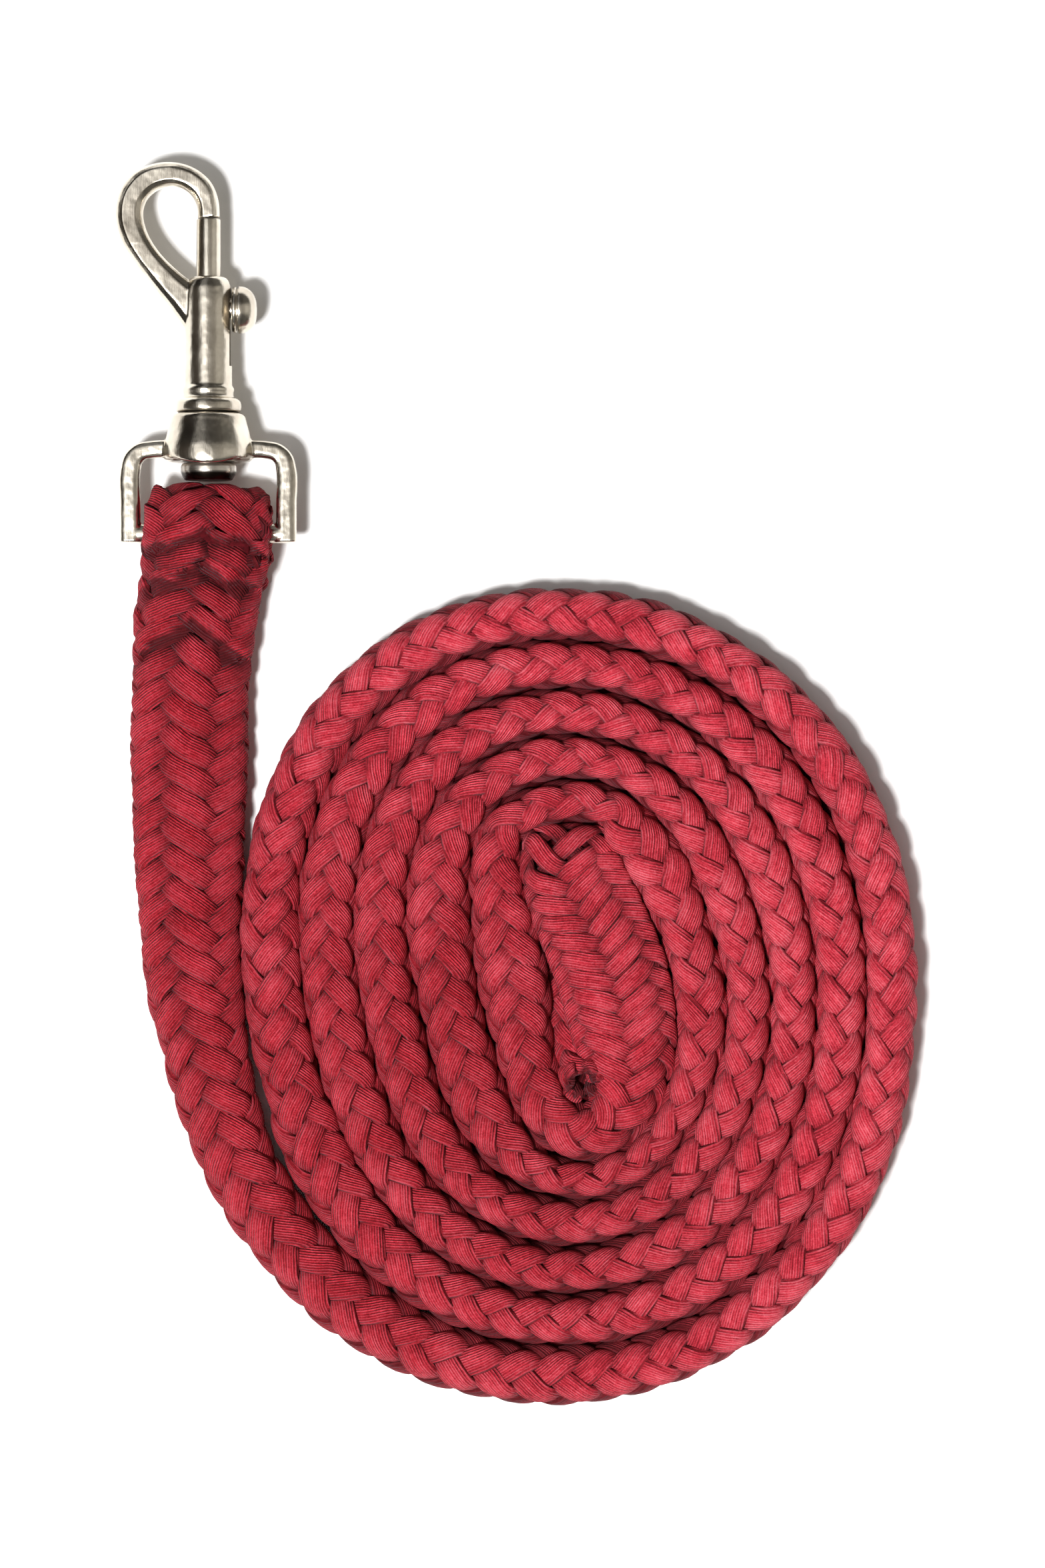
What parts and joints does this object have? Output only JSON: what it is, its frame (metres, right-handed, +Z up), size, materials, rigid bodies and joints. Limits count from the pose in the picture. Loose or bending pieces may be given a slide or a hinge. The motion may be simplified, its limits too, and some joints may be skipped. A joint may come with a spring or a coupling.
{
  "type": "lead rope with swivel bolt snap",
  "caption": "Braided lead rope, coiled flat, with a spliced eye on the rectangular bail of a sprung swivel bolt snap.",
  "frame": {"origin": "on the surface that the rope lies on, under the middle of the metal snap's own box", "axes": "+Y along the snap from its crossbar to its hook, +X across the snap towards the thumb knob, +Z up from the surface"},
  "size_m": [0.1902, 0.2945, 0.0217],
  "materials": {
    "snap_nickel": "polished nickel plate on a die casting, warm grey",
    "gate_nickel": "polished nickel plate with fine lengthwise sliding marks",
    "knob_nickel": "nickel plate, thumb-polished on the dome",
    "spring_steel": "bright spring wire",
    "rivet_steel": "turned steel, nickel plated, darker below the flange",
    "bail_nickel": "polished nickel plate on a die casting",
    "rope_eye_red": "soft matte braided yarn, bunched",
    "rope_splice_red": "soft matte 12-strand braid, full",
    "rope_tail_red": "the same braid, pulled small inside the splice",
    "rope_coil_red": "soft matte 12-strand braid with fine yarn lines"
  },
  "bodies": {
    "rope": {"rope_eye": "rope_eye_red", "rope_splice": "rope_splice_red", "rope_tail": "rope_tail_red", "rope_coil": "rope_coil_red"},
    "bail": {"swivel_bail": "bail_nickel"},
    "snap": {"snap_body": "snap_nickel", "swivel_rivet": "rivet_steel", "return_spring": "spring_steel"},
    "gate": {"gate_plunger": "gate_nickel", "thumb_knob": "knob_nickel"}
  },
  "joints": [
    {"name": "bail_swing", "type": "hinge", "parent": "rope", "child": "bail", "pos_m": [0.00055, -0.04288, 0.01085], "axis": [1, 0, 0], "range_deg": [0, 105]},
    {"name": "snap_swivel", "type": "hinge", "parent": "bail", "child": "snap", "pos_m": [0.00055, -0.01448, 0.01085], "axis": [0, 1, 0], "continuous": true},
    {"name": "gate_slide", "type": "slide", "parent": "snap", "child": "gate", "axis": [0, -1, 0], "range_m": [0, 0.0105], "stiffness_N_per_m": 350, "springref_m": -0.012, "deforming": ["return_spring"]}
  ]
}
